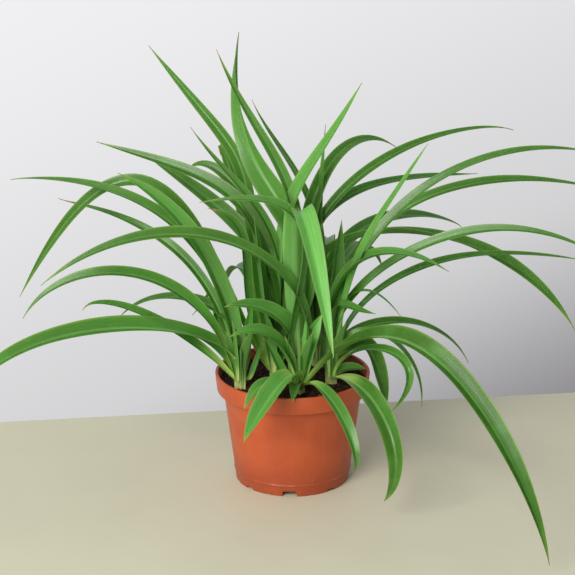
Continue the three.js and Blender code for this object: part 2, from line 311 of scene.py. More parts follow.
def new_material(name):
    """A material with its Principled shader, and the tree that holds it."""
    material = bpy.data.materials.new(name)
    material.use_nodes = True
    tree = material.node_tree
    return material, tree, tree.nodes["Principled BSDF"]


def emboss(tree, skin, height, strength, depth):
    """A material's fine relief, as a bump."""
    bump = put(tree, "ShaderNodeBump", {"Strength": strength, "Distance": depth, "Height": height})
    tree.links.new(bump.outputs["Normal"], skin.inputs["Normal"])


def terracotta_plastic():
    """Semi-matte plastic with mottling, specks, flow marks, scratches, peat stains, painted shade and
    highlight.
    """
    material, tree, skin = new_material("terracotta_plastic")
    colours = POT_COLOURS
    place = put(tree, "ShaderNodeTexCoord").outputs["Object"]
    x, y, z = put(tree, "ShaderNodeSeparateXYZ", {0: place}).outputs

    # Soft patches, fine specks and upright flow marks
    patches = mottle(tree, place, 38.0, 0.3, 0.7)
    body = blend_colours(tree, patches, colours["clay"], colours["light clay"])
    specks = times(tree, mottle(tree, place, 900.0, 0.55, 0.75), 0.25)
    body = blend_colours(tree, specks, body, colours["speck"])
    flow_place = put(tree, "ShaderNodeMapping", {"Vector": place, "Scale": (1, 1, 0.09)}).outputs[0]
    flow = mottle(tree, flow_place, 240.0, 0.3, 0.7)
    body = blend_colours(tree, times(tree, flow, 0.10), body, colours["flow mark"])

    # Peat is smeared inside the rim, and specks of it cling to the outside, most of all near the rim
    squares = calc(tree, "ADD", times(tree, x, x), times(tree, y, y))
    radius = calc(tree, "SQRT", squares)
    inside = ease(tree, radius, POT_RIM - 2.1 * MM, POT_RIM - 2.7 * MM)
    inside = times(tree, inside, ease(tree, z, BAND_FOOT, BAND_FOOT + 2 * MM))
    smear = times(tree, inside, mottle(tree, place, 130.0, 0.25, 0.6))
    body = blend_colours(tree, times(tree, smear, 0.75), body, colours["peat smear"])
    dust_line = ease(tree, z, POT_HEIGHT - 6 * MM, POT_HEIGHT, 0.15, 0.6)
    dust = times(tree, dust_line, mottle(tree, place, 2400.0, 0.66, 0.72))
    body = blend_colours(tree, times(tree, dust, 0.5), body, colours["peat dust"])

    # Painted shade in the corner under the band, a painted highlight along the ridge line,
    # painted shade darkening towards the foot, and slanted scratches
    # Painted shade: a dark line in the corner under the band
    corner = ease(tree, z, BAND_FOOT - 1.8 * MM, BAND_FOOT - 0.4 * MM)
    corner = times(tree, corner, ease(tree, radius, BAND_RADIUS - 1.2 * MM, BAND_RADIUS - 3 * MM))
    body = blend_colours(tree, times(tree, corner, 0.65), body, colours["painted band shade"])
    # Painted highlight: pale broken dashes along the ridge line
    off_ridge = calc(tree, "ABSOLUTE", calc(tree, "SUBTRACT", z, RIDGE_HEIGHT + 0.4 * MM))
    ridge_highlight = ease(tree, off_ridge, 0.25 * MM, 0.6 * MM, 0.42, 0.0)
    ridge_highlight = times(tree, ridge_highlight, mottle(tree, place, 150.0, 0.50, 0.60))
    body = blend_colours(tree, ridge_highlight, body, colours["painted ridge highlight"])
    # Painted shade: the wall darkens in soft patches towards the foot
    near_foot = ease(tree, z, 6 * MM, 34 * MM, 0.60, 0.0)
    foot_shade = times(tree, near_foot, mottle(tree, place, 45.0, 0.1, 0.5))
    body = blend_colours(tree, foot_shade, body, colours["painted foot shade"])
    inputs = {"Vector": place, "Rotation": (0.3, 0.5, 0.2), "Scale": (1, 1, 0.06)}
    scratch_place = put(tree, "ShaderNodeMapping", inputs).outputs[0]
    scratch = mottle(tree, scratch_place, 700.0, 0.70, 0.76)
    body = blend_colours(tree, times(tree, scratch, 0.30), body, colours["scratch"])
    tree.links.new(body, skin.inputs["Base Color"])

    # Peat is duller than the plastic, and the grain, flow marks and scratches stand up or cut in a little
    gloss = ease(tree, mottle(tree, place, 70.0), 0, 1, 0.40, 0.50)
    gloss = calc(tree, "ADD", gloss, times(tree, calc(tree, "MAXIMUM", smear, dust), 0.35))
    tree.links.new(gloss, skin.inputs["Roughness"])

    grain = mottle(tree, place, 1500.0, 0.2, 0.8)
    relief = calc(tree, "ADD", times(tree, grain, 0.3), times(tree, flow, 0.5))
    relief = calc(tree, "SUBTRACT", relief, times(tree, scratch, 0.4))
    emboss(tree, skin, relief, strength=0.25, depth=0.12 * MM)
    skin.inputs["IOR"].default_value = 1.49
    skin.inputs["Subsurface Weight"].default_value = 0.05
    skin.inputs["Subsurface Radius"].default_value = (1.2 * MM, 0.5 * MM, 0.3 * MM)
    return material


pot = make_pot()
pot.data.materials.clear()
pot.data.materials.append(terracotta_plastic())
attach(pot, "root")
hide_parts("pot")

# The peat is dark moist compost filled to a little under the rim. Its body is one lump the shape of the
# pot's inside, and its top is loose: rounded crumbs, chips of bark and short red-brown fibres that lie
# where they fell.
PEAT_EDGE = 78.5 * MM
PEAT_MOUND = 2 * MM
PEAT_TOP_RADIUS = 56.2 * MM
PEAT_TOP_CHAMFER = 0.7 * MM
CLEARANCE = 0.3 * MM
PEAT_RINGS = 70
PEAT_SIDES = 180
LUMPS = {"height": 0.45 * MM, "along_x": 310.0, "along_y": 270.0, "diagonal": 170.0}
FINER_CLODS = ((0.9 * MM, 160), (0.5 * MM, 420))
# How many of each lie on a square metre, and the smallest and largest scale of each
LOOSE_TOP = {"Crumb Density": 250000.0, "Clod Density": 30000.0, "Fibre Density": 30000.0}
CRUMB_SCALES = (0.35 * MM, 0.95 * MM)
CLOD_SCALES = (0.8 * MM, 2.1 * MM)
FIBRE_SCALES = (0.3 * MM, 0.8 * MM)
PEAT_COLOURS = {
    "dark": (0.009, 0.005, 0.003, 1),
    "brown": (0.034, 0.014, 0.008, 1),
    "red fibre": (0.085, 0.024, 0.011, 1),
    "bark": (0.17, 0.075, 0.04, 1),
}


def peat_height(x, y):
    """The same mound and lumps as the solid peat's, with finer clods on them."""
    outwards = math.hypot(x, y) / POT_RIM
    crossed = math.sin(x * LUMPS["along_x"] + 1) * math.cos(y * LUMPS["along_y"])
    diagonal = math.sin((x + y) * LUMPS["diagonal"] + 2)
    smooth = PEAT_EDGE + PEAT_MOUND * (1 - outwards**2) + LUMPS["height"] * (crossed + diagonal)
    clods = 0.0
    for k, (height, fineness) in enumerate(FINER_CLODS):
        clods += height * noise.noise(Vector((x, y, k)) * fineness)
    return smooth + clods


def make_peat_body():
    """The lump that fills the pot, its outline turned about the axis and its top raised into the mound."""
    shoulder = BAND_FOOT + RIM_STEP + CLEARANCE
    outline = [
        Vector((0, FLOOR_TOP + CLEARANCE)),
        Vector((wall_radius(FLOOR_TOP) - WALL - CLEARANCE, FLOOR_TOP + CLEARANCE)),
        Vector((WALL_TOP_RADIUS - WALL - CLEARANCE, BAND_FOOT + CLEARANCE)),
        Vector((PEAT_TOP_RADIUS - PEAT_TOP_CHAMFER, shoulder)),
    ]
    radii = [PEAT_TOP_RADIUS * ring / PEAT_RINGS for ring in range(PEAT_RINGS, -1, -1)]
    outline += [Vector((radius, PEAT_EDGE)) for radius in radii]
    shape = turned(outline, PEAT_SIDES)
    for vertex in shape.verts:
        if vertex.co.z > shoulder + 1 * MM:
            vertex.co.z = peat_height(vertex.co.x, vertex.co.y)
    return make_object("peat_body", shape)


def add_input(tree, name, kind, start=None):
    """A named input on a Geometry Nodes tree."""
    socket = tree.interface.new_socket(name, in_out="INPUT", socket_type=kind)
    if start is not None:
        socket.default_value = start


def set_inputs(modifier, values):
    """Sets a Geometry Nodes modifier's inputs by their sockets' identifiers."""
    for item in modifier.node_group.interface.items_tree:
        if item.item_type == "SOCKET" and item.in_out == "INPUT" and item.name in values:
            modifier[item.identifier] = values[item.name]


def new_geometry_tree(name):
    """An empty Geometry Nodes tree with its geometry in and out, and its two end nodes."""
    tree = bpy.data.node_groups.new(name, "GeometryNodeTree")
    tree.interface.new_socket("Geometry", in_out="INPUT", socket_type="NodeSocketGeometry")
    tree.interface.new_socket("Geometry", in_out="OUTPUT", socket_type="NodeSocketGeometry")
    return tree, tree.nodes.new("NodeGroupInput"), tree.nodes.new("NodeGroupOutput")


def random_value(tree, low, high, seed, kind="FLOAT"):
    """A seeded random value for each element."""
    made = put(tree, "FunctionNodeRandomValue", data_type=kind)
    made.inputs["Seed"].default_value = seed
    first = {"FLOAT": 2, "FLOAT_VECTOR": 0}[kind]
    made.inputs[first].default_value = low
    made.inputs[first + 1].default_value = high
    return made.outputs[{"FLOAT": 1, "FLOAT_VECTOR": 0}[kind]]


def store(tree, geometry, name, value, domain="POINT"):
    """Stores a number as a named attribute."""
    inputs = {"Geometry": geometry, "Name": name, "Value": value}
    return put(tree, "GeometryNodeStoreNamedAttribute", inputs, data_type="FLOAT", domain=domain).outputs[0]


def scatter(tree, ground, shape, density, scales, seed, flat=1.0):
    """Copies of one shape strewn over the ground's top, each turned and scaled at random, with a tint."""
    normal = put(tree, "GeometryNodeInputNormal").outputs[0]
    up = put(tree, "ShaderNodeSeparateXYZ", {0: normal}).outputs["Z"]
    faces_up = put(tree, "FunctionNodeCompare", {0: up, 1: 0.3}, operation="GREATER_THAN").outputs[0]
    inputs = {"Mesh": ground, "Selection": faces_up, "Density": density, "Seed": seed}
    strewn = put(tree, "GeometryNodeDistributePointsOnFaces", inputs, distribute_method="RANDOM")
    turn = random_value(tree, (-3.14, -3.14, -3.14), (3.14, 3.14, 3.14), seed + 1, "FLOAT_VECTOR")
    least, most = ((scale, scale, scale * flat) for scale in scales)
    scale = random_value(tree, least, most, seed + 2, "FLOAT_VECTOR")
    inputs = {"Points": strewn.outputs["Points"], "Instance": shape, "Rotation": turn, "Scale": scale}
    placed = put(tree, "GeometryNodeInstanceOnPoints", inputs).outputs[0]
    return store(tree, placed, "tint", random_value(tree, 0.0, 1.0, seed + 3), domain="INSTANCE")


def crumb(tree, faces, roughness, seed):
    """One crumb: a small ball pushed in and out by noise."""
    ball = put(tree, "GeometryNodeMeshIcoSphere", {"Radius": 1.0, "Subdivisions": faces}).outputs[0]
    place = put(tree, "GeometryNodeInputPosition").outputs[0]
    inputs = {"Vector": place, "Scale": 1.3, "W": float(seed)}
    shove = put(tree, "ShaderNodeTexNoise", inputs, noise_dimensions="4D").outputs["Fac"]
    push = times(tree, calc(tree, "SUBTRACT", shove, 0.5), roughness)
    offset = put(tree, "ShaderNodeVectorMath", {0: place, "Scale": push}, operation="SCALE").outputs[0]
    return put(tree, "GeometryNodeSetPosition", {"Geometry": ball, "Offset": offset}).outputs[0]


def fibre(tree):
    """One fibre: a thin bent thread, about ten times as long as its scale."""
    inputs = {"Resolution": 6, "Start": (-5, 0, 0), "Start Handle": (-2, 3, 0.6),
              "End Handle": (2, -3, 1.0), "End": (5, 0.5, 0)}
    line = put(tree, "GeometryNodeCurvePrimitiveBezierSegment", inputs).outputs[0]
    thread = put(tree, "GeometryNodeCurvePrimitiveCircle", {"Resolution": 4, "Radius": 0.22}).outputs[0]
    inputs = {"Curve": line, "Profile Curve": thread, "Fill Caps": True}
    return put(tree, "GeometryNodeCurveToMesh", inputs).outputs[0]


def finish_tree(tree, geometry, material, leave):
    """Ends a tree: its instances made real and its material set."""
    real = put(tree, "GeometryNodeRealizeInstances", {0: geometry}).outputs[0]
    done = put(tree, "GeometryNodeSetMaterial", {"Geometry": real, "Material": material}).outputs[0]
    tree.links.new(done, leave.inputs["Geometry"])
    return tree


def loose_top_tree():
    """The loose top of the peat: crumbs, larger crumbs and fibres strewn over the lump's upper side."""
    tree, entry, leave = new_geometry_tree("loose_peat")
    for name, start in LOOSE_TOP.items():
        add_input(tree, name, "NodeSocketFloat", start)
    add_input(tree, "Material", "NodeSocketMaterial")
    ground = entry.outputs["Geometry"]
    small, large, thread = crumb(tree, 1, 0.9, 3), crumb(tree, 2, 1.2, 7), fibre(tree)
    crumbs = scatter(tree, ground, small, entry.outputs["Crumb Density"], CRUMB_SCALES, seed=11)
    clods = scatter(tree, ground, large, entry.outputs["Clod Density"], CLOD_SCALES, seed=23, flat=0.8)
    fibres = scatter(tree, ground, thread, entry.outputs["Fibre Density"], FIBRE_SCALES, seed=37)
    joined = tree.nodes.new("GeometryNodeJoinGeometry")
    body = store(tree, ground, "tint", 0.3)
    for part in (fibres, clods, crumbs, body):
        tree.links.new(part, joined.inputs[0])
    return finish_tree(tree, joined.outputs[0], entry.outputs["Material"], leave)


def moist_peat():
    """Dark crumbly peat. The tint of each crumb makes a few of them red-brown fibre or pale bark."""
    material, tree, skin = new_material("moist_peat")
    place = put(tree, "ShaderNodeTexCoord").outputs["Object"]
    tint = put(tree, "ShaderNodeAttribute", attribute_name="tint").outputs["Fac"]
    colour = blend_colours(tree, mottle(tree, place, 420.0), PEAT_COLOURS["dark"], PEAT_COLOURS["brown"])
    colour = blend_colours(tree, ease(tree, tint, 0.55, 0.8), colour, PEAT_COLOURS["red fibre"])
    colour = blend_colours(tree, ease(tree, tint, 0.86, 0.97), colour, PEAT_COLOURS["bark"])
    tree.links.new(colour, skin.inputs["Base Color"])
    tree.links.new(ease(tree, mottle(tree, place, 900.0), 0, 1, 0.62, 0.98), skin.inputs["Roughness"])
    skin.inputs["Specular IOR Level"].default_value = 0.22
    emboss(tree, skin, mottle(tree, place, 1300.0, 0.2, 0.8), strength=0.8, depth=0.4 * MM)
    return material


peat = make_peat_body()
loose = peat.modifiers.new("loose_top", "NODES")
loose.node_group = loose_top_tree()
set_inputs(loose, {**LOOSE_TOP, "Material": moist_peat()})
peat = baked(peat, "peat")
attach(peat, "root")
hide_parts("soil")

# The plant is a clump of five crowns. A crown is a ring of short pale clasping sheaths with its leaves
# grown out of it: each leaf one long thin strap with a groove over its midrib, widest at two fifths of
# its length, arching in one upright plane and tapering to a fine tip that is often dry.
LEAF_ROOT = 85 * MM
LEAF_ROOT_SPREAD = 2.5 * MM
LEAF_SOLID_THICKNESS = 0.7 * MM
LEAF_STEPS = 60
MIDRIB_STEPS = 64
# The base share is of the width, the widest place of the length, and the keels of half the width
LEAF_SHAPE = {
    "Steps": LEAF_STEPS,
    "Corners": 20,
    "Thickness": 0.45 * MM,
    "Tip Width": 0.35 * MM,
    "Base Share": 0.35,
    "Widest At": 0.4,
    "Taper": 2.5,
    "Keel At Base": 0.4,
    "Keel On Blade": 0.36,
    "Ripple": 0.5 * MM,
}
GROOVE_ROUNDING = 0.02
GROOVE_DROP = 1.3
RIPPLE_PACE = 55.0
RIPPLE_LAG = 0.9
RIM = 0.99
PHASE_STEP = 2.4
STREAKS_ACROSS = 6.0
STREAKS_ALONG = 14.0
RIBS_ACROSS = 34.0
PALE_SHARE = 0.38
PALE_REACH = 55 * MM
SHEATHS = 6
SHEATH_FOOT = 76 * MM
SHEATH_SPREAD = 1.2 * MM
SHEATH_BASE_SHARE = 0.8
SHEATH_CLASP = 0.45
GOLDEN_ANGLE = 137.5
LEAF_COLOURS = {
    "dark": (0.048, 0.112, 0.010, 1),
    "middle": (0.082, 0.238, 0.034, 1),
    "light": (0.205, 0.560, 0.115, 1),
    "streak": (0.018, 0.090, 0.005, 1),
    "patch": (0.120, 0.360, 0.065, 1),
    "dull end": (0.072, 0.098, 0.028, 1),
    "rib": (0.16, 0.42, 0.10, 1),
    "midrib": (0.28, 0.58, 0.16, 1),
    "edge": (0.26, 0.50, 0.10, 1),
    "underside and painted shade": (0.075, 0.190, 0.035, 1),
    "pale base and painted light": (0.66, 0.95, 0.25, 1),
    "sheath foot": (0.66, 0.60, 0.24, 1),
    "yellow tip": (0.33, 0.40, 0.06, 1),
    "dry": (0.20, 0.115, 0.05, 1),
    "dry and bleached": (0.34, 0.26, 0.17, 1),
}

# Each row: heading, lean, grow, reach, rise, dip, fall, width, turn and twist, in degrees and millimetres,
# as in the part; then tone, from 0 dark to 1 light, partly the leaf's own green and partly painted light
# and shade set leaf by leaf; and how much of the tip is dry
CROWNS = [
    {"node": "crown_left", "x": -40, "y": -17, "leaves": [
        (173, -2, 172, 172, 155, 17, 15, 12, 40, -42, 0.45, 0.02),
        (182, -12, 30, 88, 167, -25, 85, 15, 50, 0, 0.70, 0.00),
        (152, 6, 135, 160, 124, -18, 20, 8, 40, -25, 0.26, 0.06),
        (186, 12, 115, 162, 57, 61, 60, 12, 30, 0, 0.40, 0.02),
        (200, 38, 75, 121, 72, 66, 20, 10, 35, 0, 0.30, 0.04),
        (190, 10, 12, 57, 46, 0, 40, 10, 30, 0, 0.45, 0.00),
        (148, -24, 77, 113, 29, 51, 60, 9, 30, 0, 0.30, 0.00),
        (208, -26, 58, 227, 19, 63, 95, 17, 25, 0, 0.50, 0.02),
        (135, 31, 90, 52, 40, 46, 60, 7, 20, 0, 0.35, 0.00),
        (20, 60, 8, 16, 30, -70, 40, 5, -30, 0, 0.60, 0.00),
        (240, 4, 15, 8, 52, -75, 20, 9, 50, 0, 0.75, 0.00),
        (30, 0, 15, 8, 62, -80, 20, 8, -60, 0, 0.45, 0.00),
    ]},
    {"node": "crown_front", "x": 5, "y": -28, "leaves": [
        (194, -28, 105, 193, 97, 38, 135, 12, 35, 0, 0.35, 0.00),
        (184, 25, 60, 72, 148, 9, 140, 10, 35, 0, 0.60, 0.00),
        (285, -8, 52, 92, 57, 53, 253, 18, 2, 0, 1.00, 0.00),
        (319, 34, 185, 233, -77, 77, 70, 19, -15, 0, 0.12, 0.02),
        (298, 45, 50, 80, -40, 146, 35, 11, 0, 0, 0.50, 0.00),
        (245, -7, 40, 94, -10, 60, 12, 18, 0, 0, 0.72, 0.00),
        (222, 60, 40, 54, -4, 55, 20, 10, 10, 0, 0.60, 0.00),
        (20, -8, 20, 16, 56, -60, 25, 14, -70, 0, 0.95, 0.00),
        (200, -18, 8, 53, 47, 24, 45, 14, 30, 0, 0.60, 0.00),
        (192, -11, 75, 55, 68, 35, 8, 16, 40, 0, 0.50, 0.00),
        (185, 44, 20, 25, 41, -54, 20, 8, 50, 0, 0.60, 0.00),
        (262, 40, 18, 34, 1, 55, 12, 9, 0, 0, 0.50, 0.00),
        (350, 0, 20, 3, 58, -85, 20, 4, -70, 0, 0.80, 0.00),
    ]},
    {"node": "crown_right", "x": 30, "y": -8, "leaves": [
        (8, -24, 60, 203, 171, 14, 155, 10, -22, 0, 0.30, 0.00),
        (325, 4, 95, 80, 199, -57, 100, 8, -60, 0, 0.75, 0.00),
        (352, -24, 70, 199, 107, 31, 120, 9, -35, 0, 0.40, 0.02),
        (12, -3, 55, 199, 81, 14, 150, 7, -25, 0, 0.35, 0.00),
        (320, -24, 70, 107, 109, 18, 90, 14, -45, 60, 0.65, 0.00),
        (340, -16, 40, 53, 56, 51, 65, 4, -20, 0, 0.40, 0.00),
        (310, -4, 85, 47, 65, -9, 45, 9, -30, 0, 0.55, 0.00),
        (25, -24, 54, 119, -8, 66, 70, 8, -25, 0, 0.10, 0.02),
        (0, -4, 65, 68, -25, 93, 65, 7, -20, 0, 0.35, 0.02),
        (300, 13, 50, 83, 0, 137, 115, 8, -20, 0, 0.45, 0.00),
        (296, 61, 65, 85, -70, 135, 75, 15, -10, -50, 0.16, 0.01),
        (10, 18, 10, 25, 5, 15, 10, 8, -30, 0, 0.35, 0.00),
        (240, 2, 40, 12, 92, -80, 30, 12, 60, 0, 0.75, 0.00),
        (70, 4, 50, 20, 120, -75, 30, 13, -50, 0, 0.35, 0.00),
    ]},
    {"node": "crown_middle", "x": -13, "y": 2, "leaves": [
        (170, -18, 165, 42, 254, -68, 100, 9, 60, 0, 0.45, 0.02),
        (165, -3, 150, 140, 175, -12, 115, 12, 40, 0, 0.28, 0.02),
        (140, -20, 85, 137, 153, -17, 135, 14, 35, 0, 0.25, 0.00),
        (178, 48, 45, 195, 59, 63, 260, 11, 15, 90, 0.35, 0.00),
        (150, 10, 205, 110, 246, -44, 150, 11, 65, 0, 0.45, 0.02),
        (148, -28, 187, 30, 265, -100, 158, 20, 17, 150, 0.65, 0.04),
        (182, -13, 130, 61, 197, -57, 70, 7, 60, 0, 0.50, 0.02),
        (120, -18, 60, 85, 153, 118, 50, 13, 40, 0, 0.25, 0.02),
        (152, -28, 89, 78, 147, 63, 59, 14, 40, 0, 0.35, 0.00),
        (198, 25, 95, 51, 138, -19, 55, 11, 60, 0, 0.40, 0.06),
        (340, -2, 160, 65, 236, -62, 115, 12, -60, 0, 0.75, 0.02),
        (220, 3, 50, 18, 130, -80, 50, 12, 60, 0, 0.65, 0.00),
        (250, 8, 40, 22, 60, -60, 25, 11, 40, 0, 0.80, 0.00),
        (100, 12, 100, 140, 45, 55, 80, 13, 0, 0, 0.45, 0.02),
        (112, 20, 80, 118, 25, 62, 70, 12, 10, 0, 0.40, 0.04),
    ]},
    {"node": "crown_back", "x": 20, "y": 28, "leaves": [
        (140, -13, 145, 65, 200, -59, 55, 6, 60, 0, 0.35, 0.03),
        (330, -1, 150, 3, 192, -86, 60, 6, -80, 0, 0.65, 0.10),
        (45, -24, 125, 85, 157, 34, 90, 12, -40, 0, 0.40, 0.03),
        (25, -24, 175, 169, 168, 24, 50, 8, -35, 0, 0.30, 0.05),
        (42, -24, 195, 175, 119, 8, 70, 8, -35, 0, 0.40, 0.02),
        (12, 5, 187, 228, 126, 18, 30, 9, -35, 0, 0.40, 0.02),
        (50, -9, 166, 188, 64, 67, 12, 11, -35, 0, 0.35, 0.06),
        (5, -26, 160, 202, 18, 63, 130, 14, 57, -190, 0.30, 0.01),
        (350, 76, 30, 53, -34, 80, 84, 15, -15, -60, 0.05, 0.00),
        (85, 12, 92, 152, 25, 62, 85, 14, 0, 0, 0.45, 0.03),
        (65, 10, 82, 128, 38, 52, 75, 12, -10, 0, 0.50, 0.00),
        (112, 18, 80, 130, 15, 66, 70, 12, 0, 0, 0.40, 0.05),
        (200, 3, 70, 22, 150, -80, 60, 13, 60, 0, 0.60, 0.00),
        (280, 3, 60, 12, 120, -80, 40, 12, 0, 0, 0.60, 0.00),
    ]},
]


def leaf_line(crown, row, foot, spread):
    """The sideways direction of a leaf, and the four points of the cubic curve that its midrib follows."""
    heading, lean, grow, reach, rise, dip, fall = row[:7]
    heading, lean, dip = math.radians(heading), math.radians(lean), math.radians(dip)
    out = Vector((math.cos(heading), math.sin(heading), 0))
    side = Vector((-out.y, out.x, 0))
    axis = Vector((crown["x"] * MM, crown["y"] * MM, foot))

    def place(across, up):
        return axis + out * (spread + across * MM) + Vector((0, 0, up * MM))

    return side, [
        place(0, 0),
        place(grow * math.sin(lean), grow * math.cos(lean)),
        place(reach - fall * math.cos(dip), rise + fall * math.sin(dip)),
        place(reach, rise),
    ]


def line_length(points):
    """The length of a cubic curve."""
    total, last = 0.0, points[0]
    for k in range(1, LEAF_STEPS + 1):
        t = k / LEAF_STEPS
        weights = ((1 - t) ** 3, 3 * (1 - t) ** 2 * t, 3 * (1 - t) * t * t, t**3)
        here = sum((p * w for p, w in zip(points, weights)), Vector())
        total += (here - last).length
        last = here
    return total


def sheath_row(number):
    """A short clasping sheath. They stand round the crown by the golden angle, the later ones taller."""
    heading = number * GOLDEN_ANGLE
    lean, dip = -4, -70
    rise = 26 + 6 * number
    grow, fall = rise * 0.5, rise * 0.4
    reach = 3 + 1.6 * number
    width = 6.0 + 0.7 * number
    turn, twist, dry = 0, 0, 0.0
    tone_and_shade = 0.85 - 0.06 * number
    return heading, lean, grow, reach, rise, dip, fall, width, turn, twist, tone_and_shade, dry


def crown_rows(crown):
    """One vertex for each leaf and sheath of a crown, holding what the growing tree needs as attributes."""
    kinds = [(row, LEAF_ROOT, LEAF_ROOT_SPREAD, 0.0) for row in crown["leaves"]]
    kinds += [(sheath_row(k), SHEATH_FOOT, SHEATH_SPREAD, 1.0) for k in range(SHEATHS)]
    mesh = bpy.data.meshes.new("rows_" + crown["node"])
    lines = [leaf_line(crown, row, foot, spread) for row, foot, spread, _ in kinds]
    mesh.from_pydata([points[0] for _, points in lines], [], [])
    vectors = {"root": 0, "lift": 1, "drop": 2, "tip": 3}
    for name, which in vectors.items():
        layer = mesh.attributes.new(name, "FLOAT_VECTOR", "POINT")
        layer.data.foreach_set("vector", [c for _, points in lines for c in points[which]])
    layer = mesh.attributes.new("side", "FLOAT_VECTOR", "POINT")
    layer.data.foreach_set("vector", [c for side, _ in lines for c in side])
    numbers = {
        "width": [row[7] * MM for row, *_ in kinds],
        "turn": [math.radians(row[8]) for row, *_ in kinds],
        "twist": [math.radians(row[9]) for row, *_ in kinds],
        "tone_and_shade": [row[10] for row, *_ in kinds],
        "dry": [row[11] for row, *_ in kinds],
        "sheath": [kind[3] for kind in kinds],
        "length": [line_length(points) for _, points in lines],
        "phase": [k * PHASE_STEP + crown["x"] for k in range(len(kinds))],
    }
    for name, values in numbers.items():
        layer = mesh.attributes.new(name, "FLOAT", "POINT")
        layer.data.foreach_set("value", values)
    return add_object(mesh.name, mesh)


def read(tree, name, kind="FLOAT"):
    """A named attribute."""
    made = put(tree, "GeometryNodeInputNamedAttribute", {"Name": name}, data_type=kind)
    return made.outputs["Attribute"]


def aim(tree, operation, first, second):
    """A Vector Math node's result. For SCALE the second value is a number."""
    other = "Scale" if operation == "SCALE" else 1
    return put(tree, "ShaderNodeVectorMath", {0: first, other: second}, operation=operation).outputs[0]


def grown_midribs(tree, rows):
    """One Bezier curve for each row, through its root and tip and with its two handles."""
    line = put(tree, "GeometryNodeCurvePrimitiveBezierSegment", {"Resolution": MIDRIB_STEPS}).outputs[0]
    placed = put(tree, "GeometryNodeInstanceOnPoints", {"Points": rows, "Instance": line}).outputs[0]
    curves = put(tree, "GeometryNodeRealizeInstances", {0: placed}).outputs[0]
    free = {"handle_type": "FREE", "mode": {"LEFT", "RIGHT"}}
    curves = put(tree, "GeometryNodeCurveSetHandles", {"Curve": curves}, **free).outputs[0]
    ends = {}
    for end, first, last in (("first", 1, 0), ("last", 0, 1)):
        inputs = {"Start Size": first, "End Size": last}
        ends[end] = put(tree, "GeometryNodeCurveEndpointSelection", inputs).outputs[0]
    for end, name in (("first", "root"), ("last", "tip")):
        inputs = {"Geometry": curves, "Selection": ends[end], "Position": read(tree, name, "FLOAT_VECTOR")}
        curves = put(tree, "GeometryNodeSetPosition", inputs).outputs[0]
    for end, name, handle in (("first", "lift", "RIGHT"), ("last", "drop", "LEFT")):
        inputs = {"Curve": curves, "Selection": ends[end], "Position": read(tree, name, "FLOAT_VECTOR")}
        curves = put(tree, "GeometryNodeSetCurveHandlePositions", inputs, mode=handle).outputs[0]
    return curves


def flat_tube(tree, rows, steps, corners):
    """A closed tube at each row, with its place along the leaf and across it stored on its points."""
    inputs = {"Vertices": corners, "Side Segments": steps}
    tube = put(tree, "GeometryNodeMeshCylinder", inputs).outputs["Mesh"]
    point = put(tree, "GeometryNodeInputPosition").outputs[0]
    x, y, z = put(tree, "ShaderNodeSeparateXYZ", {0: point}).outputs
    angle = calc(tree, "ABSOLUTE", calc(tree, "ARCTAN2", y, x))
    across = calc(tree, "SUBTRACT", 1.0, times(tree, angle, 2 / math.pi))
    for name, value in (
        ("under", calc(tree, "LESS_THAN", y, -0.001)),
        ("over", calc(tree, "GREATER_THAN", y, 0.001)),
        ("across", across),
        ("along", calc(tree, "ADD", times(tree, z, 0.5), 0.5)),
    ):
        tube = store(tree, tube, name, value)
    numbered = store(tree, rows, "number", put(tree, "GeometryNodeInputIndex").outputs[0])
    placed = put(tree, "GeometryNodeInstanceOnPoints", {"Points": numbered, "Instance": tube}).outputs[0]
    return put(tree, "GeometryNodeRealizeInstances", {0: placed}).outputs[0]


